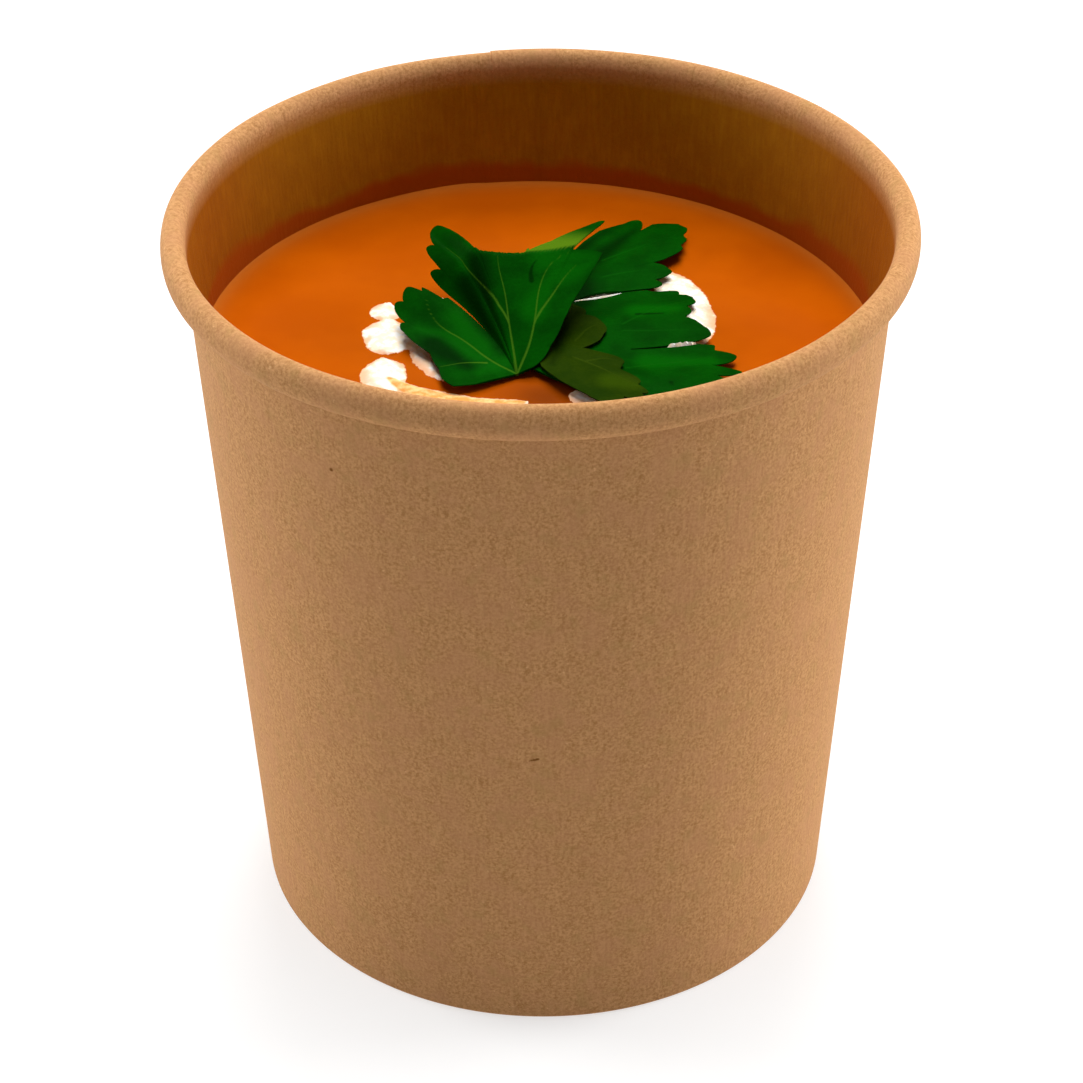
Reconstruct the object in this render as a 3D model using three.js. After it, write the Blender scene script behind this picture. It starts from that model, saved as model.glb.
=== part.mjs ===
// A takeaway paper cup of creamed soup with a cream swirl and three parsley leaves.
// Millimetres, +Z up, origin at the middle of the ring that the cup stands on.
import * as THREE from 'three';
import { mergeVertices } from 'three/addons/utils/BufferGeometryUtils.js';

// Cup: outer radii, height and the paperboard
const RIM_RADIUS = 49;
const BASE_RADIUS = 40.2;
const NECK_RADIUS = 46.1;
const CUP_HEIGHT = 104;
const BOARD = 0.45;
const GAP = 0.3;

// Rolled rim: a bead taller than it is wide, and the tail tucked up inside it
const BEAD_HEIGHT = 4.8;
const TAIL_RADIUS = 0.55;
const TAIL_SHIFT = 0.25;

// Foot: how far the board turns up inside, its bend, and the height of the base disc
const HEM_HEIGHT = 8;
const HEM_BEND = 0.45;
const DISC_TOP = 9.6;
const DISC_BEND = 0.8;

// Side seam at the back: azimuths of the two cut edges, and how far the outer layer eases back
const INNER_CUT = 98.4;
const OUTER_CUT = 89.6;
const CUT_STEP = 0.15;
const EASE = 26;

// The rim is not quite round: its long axis and how much longer it is
const OVAL_AXIS = 18;
const OVAL_STRETCH = 0.0104;

// Soup: level in the middle, slope towards +X, and its thickness of cream
const SOUP_LEVEL = 83.7;
const SOUP_SLOPE = -0.02;
const CREAM_HEIGHT = 0.65;
const SWIRL_CENTRE = new THREE.Vector2(0, 2);

// Parsley: thickness, where the folded leaf's crest lies behind its base, how round its teeth are,
// and waves across each leaf
const LEAF_THICKNESS = 0.4;
const FOLD_REACH = 15.6;
const TOOTH_ROUND = 0.7;
const WAVES = 11;
const LEAST_SINE = 0.1;

// Fineness of the facets
const CUP_COLUMNS = 64;
const SOUP_COLUMNS = 96;
const SOUP_RING_FIRST = 8;
const SOUP_RING_STEP = 2;
const SOUP_RINGS = 11;
const LEAF_RINGS = 4;
const FOLD_SHARES = [0, 0.35, 0.7, 1];
const LATEST_FOLD = 0.9;
const TOOTH_STEPS = 3;

const { degToRad, lerp, smoothstep, clamp } = THREE.MathUtils;

// Outer radius of the body at a height
function bodyRadius(z) {
  const neck = CUP_HEIGHT - BEAD_HEIGHT;
  return lerp(BASE_RADIUS, NECK_RADIUS, z / neck);
}

// Moves a point of the round cup onto the slightly oval one
function onOval(radius, azimuth, z) {
  const twist = Math.cos(2 * degToRad(azimuth - OVAL_AXIS));
  const r = radius * (1 + OVAL_STRETCH * twist * z / CUP_HEIGHT);
  return new THREE.Vector3(r * Math.cos(degToRad(azimuth)), r * Math.sin(degToRad(azimuth)), z);
}

function addTriangle(corners, a, b, c) {
  const least = 1e-4;
  if (a.distanceTo(b) < least || b.distanceTo(c) < least || c.distanceTo(a) < least) return;
  for (const point of [a, b, c]) corners.push(point.x, point.y, point.z);
}

function toGeometry(corners) {
  const loose = new THREE.BufferGeometry();
  loose.setAttribute('position', new THREE.Float32BufferAttribute(corners, 3));
  const geometry = mergeVertices(loose, 1e-4);
  geometry.computeVertexNormals();
  return geometry;
}

function toMesh(name, geometry, color, roughness) {
  const material = new THREE.MeshStandardMaterial({ color, roughness, metalness: 0 });
  const mesh = new THREE.Mesh(geometry, material);
  mesh.name = name;
  return mesh;
}

// Joins columns of points all round the axis; each column is a closed loop, seen with its solid
// on the left
function revolve(columns) {
  const corners = [];
  columns.forEach((here, i) => {
    const next = columns[(i + 1) % columns.length];
    here.forEach((point, j) => {
      const k = (j + 1) % here.length;
      addTriangle(corners, point, next[j], next[k]);
      addTriangle(corners, point, next[k], here[k]);
    });
  });
  return toGeometry(corners);
}

// Points of an arc of an ellipse, from one angle to another
function arc(centre, width, height, from, to, steps) {
  return Array.from({ length: steps + 1 }, (_, i) => {
    const angle = degToRad(lerp(from, to, i / steps));
    return new THREE.Vector2(centre.x + width * Math.cos(angle), centre.y + height * Math.sin(angle));
  });
}

// Middle line of the board: up the inside of the foot, round its fold, up the wall, over the bead
function boardLine() {
  const half = BOARD / 2;
  const wall = (z) => bodyRadius(z) - half;
  const flap = (z) => wall(z) - 2 * (BOARD + GAP);
  const turn = half + HEM_BEND;
  const foldIn = new THREE.Vector2(flap(0) + HEM_BEND, turn);
  const foldOut = new THREE.Vector2(wall(0) - HEM_BEND, turn);
  const beadWidth = RIM_RADIUS - (NECK_RADIUS - BOARD);
  const bead = new THREE.Vector2(RIM_RADIUS - beadWidth / 2, CUP_HEIGHT - BEAD_HEIGHT / 2);
  const across = beadWidth / 2 - half;
  const up = BEAD_HEIGHT / 2 - half;
  const tail = new THREE.Vector2(bead.x + TAIL_SHIFT, bead.y - up + TAIL_RADIUS);
  return [
    new THREE.Vector2(flap(HEM_HEIGHT), HEM_HEIGHT),
    ...arc(foldIn, HEM_BEND, HEM_BEND, 180, 270, 2),
    ...arc(foldOut, HEM_BEND, HEM_BEND, 270, 360, 2),
    ...arc(bead, across, up, 180, 0, 6),
    ...arc(bead, across, up, -30, -60, 1),
    ...arc(tail, TAIL_RADIUS, TAIL_RADIUS, -90, -180, 2),
  ];
}

// Unit vector square to the line at each point, towards the outside of the wall
function outward(line) {
  return line.map((point, i) => {
    const before = line[Math.max(i - 1, 0)];
    const after = line[Math.min(i + 1, line.length - 1)];
    const along = after.clone().sub(before).normalize();
    return new THREE.Vector2(along.y, -along.x);
  });
}

// How far the seam pushes each side of the board outward at an azimuth
function seamShift(azimuth, cut) {
  if (azimuth <= cut) return 0;
  return BOARD * (1 - smoothstep(azimuth, INNER_CUT, INNER_CUT + EASE));
}

function seamColumns() {
  const even = Array.from({ length: CUP_COLUMNS }, (_, i) => (360 * i) / CUP_COLUMNS);
  const cuts = [INNER_CUT, OUTER_CUT].flatMap((cut) => [cut, cut + CUT_STEP]);
  const room = 1;
  const clear = even.filter((azimuth) => cuts.every((cut) => Math.abs(azimuth - cut) > room));
  return [...clear, ...cuts].sort((a, b) => a - b);
}

function cupWall() {
  const line = boardLine();
  const across = outward(line);
  const side = (azimuth, sign, cut) => line.map((point, i) => {
    const shift = sign * BOARD / 2 + seamShift(azimuth, cut);
    const place = point.clone().addScaledVector(across[i], shift);
    return onOval(place.x, azimuth, Math.max(place.y, 0));
  });
  const columns = seamColumns().map((azimuth) => [
    ...side(azimuth, 1, OUTER_CUT),
    ...side(azimuth, -1, INNER_CUT).reverse(),
  ]);
  return toMesh('cup_wall', revolve(columns), 0xc09566, 0.85);
}

// The base is a disc with a skirt that stands between the wall and its turned-up flap
function cupBase() {
  const outer = (z) => bodyRadius(z) - BOARD - GAP;
  const low = BOARD + GAP;
  const corner = new THREE.Vector2(outer(DISC_TOP) - DISC_BEND, DISC_TOP - DISC_BEND);
  const inside = DISC_BEND - BOARD;
  const section = [
    new THREE.Vector2(0, DISC_TOP - BOARD),
    ...arc(corner, inside, inside, 90, 0, 2),
    new THREE.Vector2(outer(low) - BOARD, low),
    new THREE.Vector2(outer(low), low),
    ...arc(corner, DISC_BEND, DISC_BEND, 0, 90, 2),
    new THREE.Vector2(0, DISC_TOP),
  ];
  const columns = Array.from({ length: CUP_COLUMNS }, (_, i) => {
    const azimuth = (360 * i) / CUP_COLUMNS;
    return section.map((point) => onOval(point.x, azimuth, point.y));
  });
  return toMesh('cup_base', revolve(columns), 0xb98e60, 0.9);
}

// Cream drizzled in a broken ring: strokes about the swirl's centre, from one azimuth and radius
// to another, each as wide as given in its middle
const STROKES = [
  { from: 158, to: 170, start: 22.2, end: 21.6, width: 4.4 },
  { from: 169, to: 194, start: 20.6, end: 20.4, width: 7 },
  { from: 196, to: 217, start: 22, end: 24.2, width: 6.6 },
  { from: 182, to: 222, start: 17.8, end: 15.5, width: 1.2 },
  { from: 209, to: 272, start: 23.6, end: 16.6, width: 2.8 },
  { from: 276, to: 335, start: 17.5, end: 20, width: 7 },
  { from: 340, to: 412, start: 17.5, end: 24, width: 7.4 },
  { from: 35, to: 70, start: 20, end: 8, width: 4 },
  { from: 144, to: 154, start: 16.4, end: 16, width: 3 },
];

// Uneven edge of the cream: how often it swells on the way round, and by how much
const SWELLS = [
  { times: 13, by: 0.1 },
  { times: 31, by: 0.07 },
];

function strokeHeight(stroke, azimuth, radius) {
  const turned = azimuth < stroke.from ? azimuth + 360 : azimuth;
  const along = (turned - stroke.from) / (stroke.to - stroke.from);
  if (along <= 0 || along >= 1) return 0;
  const swell = ({ times, by }) => by * Math.sin(degToRad(turned * times));
  const ragged = SWELLS.reduce((sum, one) => sum + swell(one), 1);
  const half = (stroke.width / 2) * Math.sqrt(Math.sin(Math.PI * along)) * ragged;
  const off = Math.abs(radius - lerp(stroke.start, stroke.end, along)) / half;
  return CREAM_HEIGHT * Math.sqrt(clamp(1 - off * off, 0, 1));
}

function creamHeight(x, y) {
  const dx = x - SWIRL_CENTRE.x;
  const dy = y - SWIRL_CENTRE.y;
  const azimuth = (THREE.MathUtils.radToDeg(Math.atan2(dy, dx)) + 360) % 360;
  const heights = STROKES.map((stroke) => strokeHeight(stroke, azimuth, Math.hypot(dx, dy)));
  return Math.max(...heights);
}

function soupLevel(x) {
  return SOUP_LEVEL + SOUP_SLOPE * x;
}

// Soup fills the cup from just above the base, with the cream raised on its surface
function soup() {
  const bottom = DISC_TOP + GAP;
  const fill = (z) => bodyRadius(z) - BOARD - GAP;
  const fine = Array.from({ length: SOUP_RINGS }, (_, i) => SOUP_RING_FIRST + SOUP_RING_STEP * i);
  const outside = 36;
  const rings = [0, SOUP_RING_FIRST / 2, ...fine, outside];
  const columns = Array.from({ length: SOUP_COLUMNS }, (_, i) => {
    const azimuth = (360 * i) / SOUP_COLUMNS;
    const edge = onOval(fill(SOUP_LEVEL), azimuth, SOUP_LEVEL);
    edge.z = soupLevel(edge.x);
    const top = rings.map((radius) => {
      const point = onOval(radius, azimuth, SOUP_LEVEL);
      point.z = soupLevel(point.x) + creamHeight(point.x, point.y);
      return point;
    });
    return [onOval(0, 0, bottom), onOval(fill(bottom), azimuth, bottom), edge, ...top.reverse()];
  });
  return toMesh('soup', revolve(columns), 0xd06000, 0.3);
}

// Each leaf is a fan of veins from its base. A vein has its azimuth at the tip, the reach of the
// leaf there, the turn it makes on its way, and its slope before and after the fold. The outline
// goes round by azimuth and reach, and a third value of 1 marks the rounded tip of a tooth.
const FOLDED_LEAF = {
  name: 'leaf_folded',
  color: 0x1f7a12,
  base: new THREE.Vector2(-3.2, -8.7),
  lift: 0.8,
  fold: FOLD_REACH,
  ripple: 0.04,
  veins: [
    { at: 8, reach: 3, turn: 0, rise: 0.45, after: 0 },
    { at: 50, reach: 19, turn: 0, rise: 0.53, after: 0 },
    { at: 64, reach: 26, turn: 8, rise: 0.58, after: 0 },
    { at: 84, reach: 19, turn: 0, rise: 0.605, after: 0 },
    { at: 88, reach: 19, turn: 0, rise: 0.6, after: -0.9 },
    { at: 96, reach: 19, turn: 0, rise: 0.595, after: -0.9 },
    { at: 108, reach: 20, turn: -5, rise: 0.585, after: -0.9 },
    { at: 110.5, reach: 24, turn: -6.5, rise: 0.58, after: 0 },
    { at: 119, reach: 25, turn: -11, rise: 0.44, after: 0.1 },
    { at: 128, reach: 20, turn: -16, rise: 0.24, after: 0.2 },
    { at: 150, reach: 18, turn: 0, rise: 0.12, after: 0.1 },
    { at: 180, reach: 11, turn: 0, rise: 0.07, after: 0.05 },
    { at: 210, reach: 9, turn: 0, rise: 0.05, after: 0 },
  ],
  outline: [
    [8, 2], [34, 5.3], [45.5, 8.8], [49.5, 11.2], [51.5, 16.4], [52.5, 18.7], [56, 18.4], [60, 17.6],
    [61.9, 17.3], [62.35, 21.1], [62.5, 24.4], [63, 26, 1], [64.3, 25.7], [67.6, 23.2], [75.6, 18.9],
    [84, 16.3], [92, 18.8, 1], [96.5, 17.8], [101, 19.2, 1], [105, 17.9], [109.3, 17.4], [111, 17.2],
    [115.5, 25.6, 1], [120.6, 22.5], [121.9, 23.1, 1], [123.3, 20.9], [123.8, 19.3], [125.2, 20.3, 1],
    [127.1, 16.5], [127.5, 6], [128.2, 6], [128.5, 16], [130.6, 16.2], [131.5, 19.3, 1], [132.7, 18.8],
    [135.3, 20.8, 1], [140.2, 19.7], [142.2, 20.5, 1], [147.8, 17.4], [149.4, 17.9, 1], [153.8, 16.8],
    [158.6, 14.6], [164, 11.9], [179.4, 10.2], [192.3, 10], [204.4, 9.1], [208.9, 6.2],
  ],
};

const BROAD_LEAF = {
  name: 'leaf_broad',
  color: 0x0f5c10,
  base: new THREE.Vector2(-7, 0.5),
  lift: 1.3,
  fold: Infinity,
  ripple: 0.25,
  veins: [
    { at: -40, reach: 26, turn: -28, rise: 0, after: 0 },
    { at: -4, reach: 30, turn: -28, rise: 0.005, after: 0 },
    { at: 12, reach: 28, turn: 0, rise: 0.01, after: 0 },
    { at: 27, reach: 26, turn: 20, rise: 0.005, after: 0 },
    { at: 39, reach: 31, turn: 13, rise: 0.008, after: 0 },
    { at: 61, reach: 37, turn: 0, rise: 0.008, after: 0 },
  ],
  outline: [
    [-38, 20], [-35, 28, 1], [-32, 26.5], [-28.5, 31.5, 1], [-25.5, 29.5], [-21.5, 33.5, 1],
    [-18.5, 31.5], [-15, 34.4, 1], [-13.6, 30.1], [-8.2, 33.1, 1], [-6.2, 30.1], [-4.6, 30.1, 1],
    [-3.3, 29.3], [-2.15, 27.9], [-1.8, 19.2], [-1.2, 19.2], [-0.85, 27.6], [0.6, 29.6, 1], [3.9, 28.9],
    [7.5, 27.8], [9.8, 26.6], [13, 27.9, 1], [15.8, 27.6], [17.8, 29.3, 1], [20.5, 29.4], [22.3, 28.9],
    [23.4, 28], [24.8, 28.3, 1], [27.3, 25], [28.25, 24.6], [28.4, 14.3], [28.8, 14.3], [28.95, 25],
    [30.4, 27.3, 1], [32.4, 26.9], [34, 30.1, 1], [37, 30], [39.2, 29.3], [39.5, 33], [40.6, 35.1, 1],
    [41.8, 35.6], [43, 37.3, 1], [44.7, 38], [46.3, 39.6, 1], [48.6, 39.8], [51.2, 38.8], [53, 37.8],
    [53.5, 35], [56.4, 37.7, 1], [58.3, 35.8], [60.1, 33.8], [61.6, 32], [62.6, 28],
  ],
};

const OLIVE_LEAF = {
  name: 'leaf_olive',
  color: 0x4a6410,
  base: new THREE.Vector2(-1.5, -1.5),
  lift: 2.15,
  fold: Infinity,
  ripple: 0.12,
  veins: [
    { at: -78, reach: 12, turn: 0, rise: -0.02, after: 0 },
    { at: -45, reach: 21, turn: 0, rise: 0, after: 0 },
    { at: -27, reach: 12, turn: 0, rise: 0, after: 0 },
    { at: 75, reach: 10, turn: 0, rise: 0.02, after: 0 },
  ],
  outline: [
    [-78, 7], [-72, 9.5], [-66.8, 12.3], [-62.2, 15.4], [-54.5, 19.6, 1], [-50, 18.8], [-45.5, 20.8, 1],
    [-42.8, 19.6], [-41, 20.2, 1], [-38.9, 18], [-37, 17.9, 1], [-34.3, 16.2], [-33.3, 14.1],
    [-27, 13.8, 1], [-22, 11.8], [-20.3, 7.4], [-10.7, 8.3], [-3.3, 9.2], [6.4, 9.9], [15.3, 10.5, 1],
    [31.9, 10.1], [38.2, 9.3], [44.8, 10.2, 1], [56, 10.4], [66, 10], [75, 9],
  ],
};

// Value of a vein's property at any azimuth, eased between neighbouring veins
function veinValue(leaf, azimuth, key) {
  const { veins } = leaf;
  const place = veins.findIndex((vein) => vein.at > azimuth);
  if (place === 0) return veins[0][key];
  if (place < 0) return veins[veins.length - 1][key];
  const before = veins[place - 1];
  const after = veins[place];
  return lerp(before[key], after[key], smoothstep(azimuth, before.at, after.at));
}

// Distance from the leaf's base to its fold, which runs straight across
function crestDistance(leaf, azimuth) {
  return leaf.fold / Math.max(Math.sin(degToRad(azimuth)), LEAST_SINE);
}

// Height of the leaf above its base, along the vein at an azimuth
function leafHeight(leaf, azimuth, distance) {
  const crest = crestDistance(leaf, azimuth);
  const rise = veinValue(leaf, azimuth, 'rise');
  const after = veinValue(leaf, azimuth, 'after');
  const wave = leaf.ripple * Math.sin(degToRad(azimuth * WAVES)) * distance / leaf.veins[1].reach;
  return rise * Math.min(distance, crest) + after * Math.max(distance - crest, 0) + wave;
}

// A point on the middle surface of the leaf
function leafPoint(leaf, azimuth, distance) {
  const turn = veinValue(leaf, azimuth, 'turn');
  const rest = clamp(1 - distance / veinValue(leaf, azimuth, 'reach'), 0, 1);
  const heading = degToRad(azimuth + turn * rest);
  const x = leaf.base.x + distance * Math.cos(heading);
  const y = leaf.base.y + distance * Math.sin(heading);
  return new THREE.Vector3(x, y, soupLevel(x) + leaf.lift + leafHeight(leaf, azimuth, distance));
}

// Unit vector square to the leaf's surface, pointing up
function leafNormal(leaf, azimuth, distance) {
  const nearest = 1;
  const step = 0.2;
  const near = Math.max(distance, nearest);
  const out = leafPoint(leaf, azimuth, near + step).sub(leafPoint(leaf, azimuth, near - step));
  const round = leafPoint(leaf, azimuth + step, near).sub(leafPoint(leaf, azimuth - step, near));
  return out.cross(round).normalize();
}

// Outline as pairs of azimuth and reach: straight between corners, rounded towards a tooth's tip
function leafOutline(leaf) {
  const outline = [];
  leaf.outline.slice(0, -1).forEach(([azimuth, reach, tip = 0], i) => {
    const [nextAzimuth, nextReach, nextTip = 0] = leaf.outline[i + 1];
    const steps = tip === nextTip ? 1 : TOOTH_STEPS;
    for (let step = 0; step < steps; step += 1) {
      const u = step / steps;
      const rising = Math.sin((Math.PI / 2) * u) ** TOOTH_ROUND;
      const falling = 1 - Math.cos((Math.PI / 2) * u) ** TOOTH_ROUND;
      outline.push([lerp(azimuth, nextAzimuth, u), lerp(reach, nextReach, tip ? falling : rising)]);
    }
  });
  const [lastAzimuth, lastReach] = leaf.outline[leaf.outline.length - 1];
  return [...outline, [lastAzimuth, lastReach]];
}

// Distances along a vein where the mesh has rings, with one of them on the fold
function ringDistances(leaf, azimuth, reach) {
  const even = Array.from({ length: LEAF_RINGS + 1 }, (_, i) => (reach * i) / LEAF_RINGS);
  if (leaf.fold === Infinity) return even;
  const turn = Math.min(crestDistance(leaf, azimuth), LATEST_FOLD * reach);
  return [...FOLD_SHARES.map((share) => share * turn), (turn + reach) / 2, reach];
}

function leafMesh(leaf) {
  const half = LEAF_THICKNESS / 2;
  const side = (sign) => leafOutline(leaf).map(([azimuth, reach]) => (
    ringDistances(leaf, azimuth, reach).map((distance) => {
      const heading = distance === 0 ? leaf.veins[0].at : azimuth;
      const normal = leafNormal(leaf, heading, distance);
      return leafPoint(leaf, heading, distance).addScaledVector(normal, sign * half);
    })
  ));
  const top = side(1);
  const under = side(-1);
  const corners = [];
  const rings = top[0].length - 1;
  for (let i = 0; i + 1 < top.length; i += 1) {
    for (let j = 0; j < rings; j += 1) {
      addTriangle(corners, top[i][j], top[i][j + 1], top[i + 1][j + 1]);
      addTriangle(corners, top[i][j], top[i + 1][j + 1], top[i + 1][j]);
      addTriangle(corners, under[i][j], under[i + 1][j + 1], under[i][j + 1]);
      addTriangle(corners, under[i][j], under[i + 1][j], under[i + 1][j + 1]);
    }
    addTriangle(corners, top[i][rings], under[i][rings], under[i + 1][rings]);
    addTriangle(corners, top[i][rings], under[i + 1][rings], top[i + 1][rings]);
  }
  const end = top.length - 1;
  for (let j = 0; j < rings; j += 1) {
    addTriangle(corners, top[0][j], under[0][j], under[0][j + 1]);
    addTriangle(corners, top[0][j], under[0][j + 1], top[0][j + 1]);
    addTriangle(corners, top[end][j], under[end][j + 1], under[end][j]);
    addTriangle(corners, top[end][j], top[end][j + 1], under[end][j + 1]);
  }
  return toMesh(leaf.name, toGeometry(corners), leaf.color, 0.5);
}

const group = new THREE.Group();
group.add(cupWall(), cupBase(), soup());
for (const leaf of [BROAD_LEAF, OLIVE_LEAF, FOLDED_LEAF]) group.add(leafMesh(leaf));

export default group;
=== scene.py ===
import math

import bmesh
import bpy
import numpy as np
from mathutils import Matrix, Vector


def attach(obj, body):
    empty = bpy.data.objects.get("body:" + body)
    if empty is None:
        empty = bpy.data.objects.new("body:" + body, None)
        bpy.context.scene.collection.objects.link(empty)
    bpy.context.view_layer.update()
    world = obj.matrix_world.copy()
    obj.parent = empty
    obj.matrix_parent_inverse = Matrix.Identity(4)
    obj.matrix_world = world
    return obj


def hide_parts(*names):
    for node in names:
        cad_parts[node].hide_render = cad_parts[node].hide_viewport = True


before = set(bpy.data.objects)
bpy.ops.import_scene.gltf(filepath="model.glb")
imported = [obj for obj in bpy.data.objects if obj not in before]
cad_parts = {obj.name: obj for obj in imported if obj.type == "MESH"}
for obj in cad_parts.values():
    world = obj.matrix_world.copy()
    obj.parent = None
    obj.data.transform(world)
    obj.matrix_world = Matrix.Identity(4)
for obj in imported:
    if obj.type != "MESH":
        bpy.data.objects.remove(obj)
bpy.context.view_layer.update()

# Sizes in millimetres and angles in degrees, with azimuths from +X round the cup's axis
MM = 0.001
BASE_RADIUS = 40.2
NECK_RADIUS = 46.1
RIM_RADIUS = 48.9
CUP_HEIGHT = 104
BOARD = 0.45
GAP = 0.3
BEAD_HEIGHT = 4.8
TAIL_RADIUS = 0.55
TAIL_SHIFT = 0.25
HEM_HEIGHT = 8
HEM_BEND = 0.45
DISC_TOP = 9.6
DISC_BEND = 0.8
HUB = 0.5

# The side seam's cut edges, the angles over which its steps spread, and how far the bead hides it
INNER_CUT = 98.4
OUTER_CUT = 89.6
CUT_STEP = 0.06
SOFT_STEP = 7
EASE = 26
SEAM_FADE = 0.6

# The cup is pressed slightly oval towards its rim
OVAL_AXIS = 18
OVAL_STRETCH = 0.0104

# The soup stands a little higher on the left
SOUP_LEVEL = 83.7
SOUP_SLOPE = -0.02

# The photograph's viewpoint, from its frame of 1083 pixels
PHOTO_WIDTH = 1083
FOCAL_PIXELS = 3314.22
SENSOR = 36
CAMERA_DISTANCE = 459.15
CAMERA_RISE = 34.76
CAMERA_ROLL = -0.34
CAMERA_TARGET = (-0.14, 0, 51.96)


def smooth(value, low, high):
    share = np.clip((value - low) / (high - low), 0, 1)
    return share * share * (3 - 2 * share)


def sine(degrees):
    return np.sin(np.radians(degrees))


def cosine(degrees):
    return np.cos(np.radians(degrees))


# Shapes shared by the pieces

def body_radius(z):
    return BASE_RADIUS + (NECK_RADIUS - BASE_RADIUS) * z / (CUP_HEIGHT - BEAD_HEIGHT)


def on_oval(radius, azimuth, z):
    twist = cosine(2 * (azimuth - OVAL_AXIS))
    r = radius * (1 + OVAL_STRETCH * twist * z / CUP_HEIGHT)
    return np.stack(np.broadcast_arrays(r * cosine(azimuth), r * sine(azimuth), z), -1)


def arc(centre, width, height, start, end, steps):
    angle = np.linspace(start, end, steps + 1)
    return np.stack([centre[0] + width * cosine(angle), centre[1] + height * sine(angle)], -1)


def straight(start, end, steps):
    return np.linspace(start, end, steps + 1)[:-1]


def board_line():
    """Middle line of the board, from inside the foot, up the wall and over the bead."""
    half = BOARD / 2
    turn = half + HEM_BEND
    flap_shift = half + 2 * (BOARD + GAP)
    flap_top = (body_radius(HEM_HEIGHT) - flap_shift, HEM_HEIGHT)
    fold_in = (body_radius(0) - flap_shift + HEM_BEND, turn)
    fold_out = (body_radius(0) - half - HEM_BEND, turn)
    bead_width = RIM_RADIUS - (NECK_RADIUS - BOARD)
    bead = (RIM_RADIUS - bead_width / 2, CUP_HEIGHT - BEAD_HEIGHT / 2)
    across = bead_width / 2 - half
    up = BEAD_HEIGHT / 2 - half
    tail = (bead[0] + TAIL_SHIFT, bead[1] - up + TAIL_RADIUS)
    inner_fold = arc(fold_in, HEM_BEND, HEM_BEND, 180, 270, 5)
    outer_fold = arc(fold_out, HEM_BEND, HEM_BEND, 270, 360, 5)
    over = arc(bead, across, up, 180, -60, 40)
    return np.concatenate([
        straight(flap_top, inner_fold[0], 5),
        inner_fold,
        outer_fold[:-1],
        straight(outer_fold[-1], over[0], 48),
        over,
        arc(tail, TAIL_RADIUS, TAIL_RADIUS, -90, -180, 8),
    ])


def outward(line):
    along = np.gradient(line, axis=0)
    along /= np.linalg.norm(along, axis=1)[:, None]
    return np.stack([along[:, 1], -along[:, 0]], -1)


def seam_shift(azimuth, cut, soft):
    """How far the seam pushes the board outward, with its step spread over some degrees."""
    eased = BOARD * (1 - smooth(azimuth, INNER_CUT, INNER_CUT + EASE))
    return eased * smooth(azimuth, cut, cut + soft)


def seam_azimuths(count):
    """Even azimuths, with extra ones beside the seam's cut edges."""
    beside, clearance = 0.4, 0.3
    even = np.arange(count) * 360 / count
    shifts = (-beside, 0, CUT_STEP, beside)
    cuts = [cut + shift for cut in (INNER_CUT, OUTER_CUT) for shift in shifts]
    clear = [a for a in even if min(abs(a - cut) for cut in cuts) > clearance]
    return np.sort(np.array(clear + cuts))


def wrap_faces(columns, loop):
    """Quads between columns round the axis, each column a closed loop of points."""
    i, j = np.meshgrid(np.arange(columns), np.arange(loop), indexing="ij")
    right, up = (i + 1) % columns, (j + 1) % loop
    corners = [i * loop + j, right * loop + j, right * loop + up, i * loop + up]
    return np.stack(corners, -1).reshape(-1, 4)


def turned_faces(columns, loop):
    """Faces of a turned body whose section starts and ends at the hub, with two caps there."""
    ends = {0, loop - 1}
    around = wrap_faces(columns, loop).tolist()
    kept = [face for face in around if {face[0] % loop, face[3] % loop} != ends]
    first = [i * loop for i in range(columns)]
    last = [i * loop + loop - 1 for i in range(columns)]
    return kept + [first[::-1], last]


def make_piece(name, points, faces, material, node, values=None, sharp=40):
    """A mesh piece from points in millimetres, in place of a node of the solids."""
    mesh = bpy.data.meshes.new(name)
    mesh.from_pydata((points.reshape(-1, 3) * MM).tolist(), [], [list(face) for face in faces])
    mesh.update()
    for key, numbers in (values or {}).items():
        layer = mesh.attributes.new(key, "FLOAT", "POINT")
        layer.data.foreach_set("value", np.asarray(numbers, dtype=np.float32).ravel())
    mesh.shade_smooth()
    mesh.set_sharp_from_angle(angle=math.radians(sharp))
    mesh.materials.append(material)
    piece = bpy.data.objects.new(name, mesh)
    bpy.context.scene.collection.objects.link(piece)
    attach(piece, "root")
    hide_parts(node)
    return piece


# Shader nodes

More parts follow.
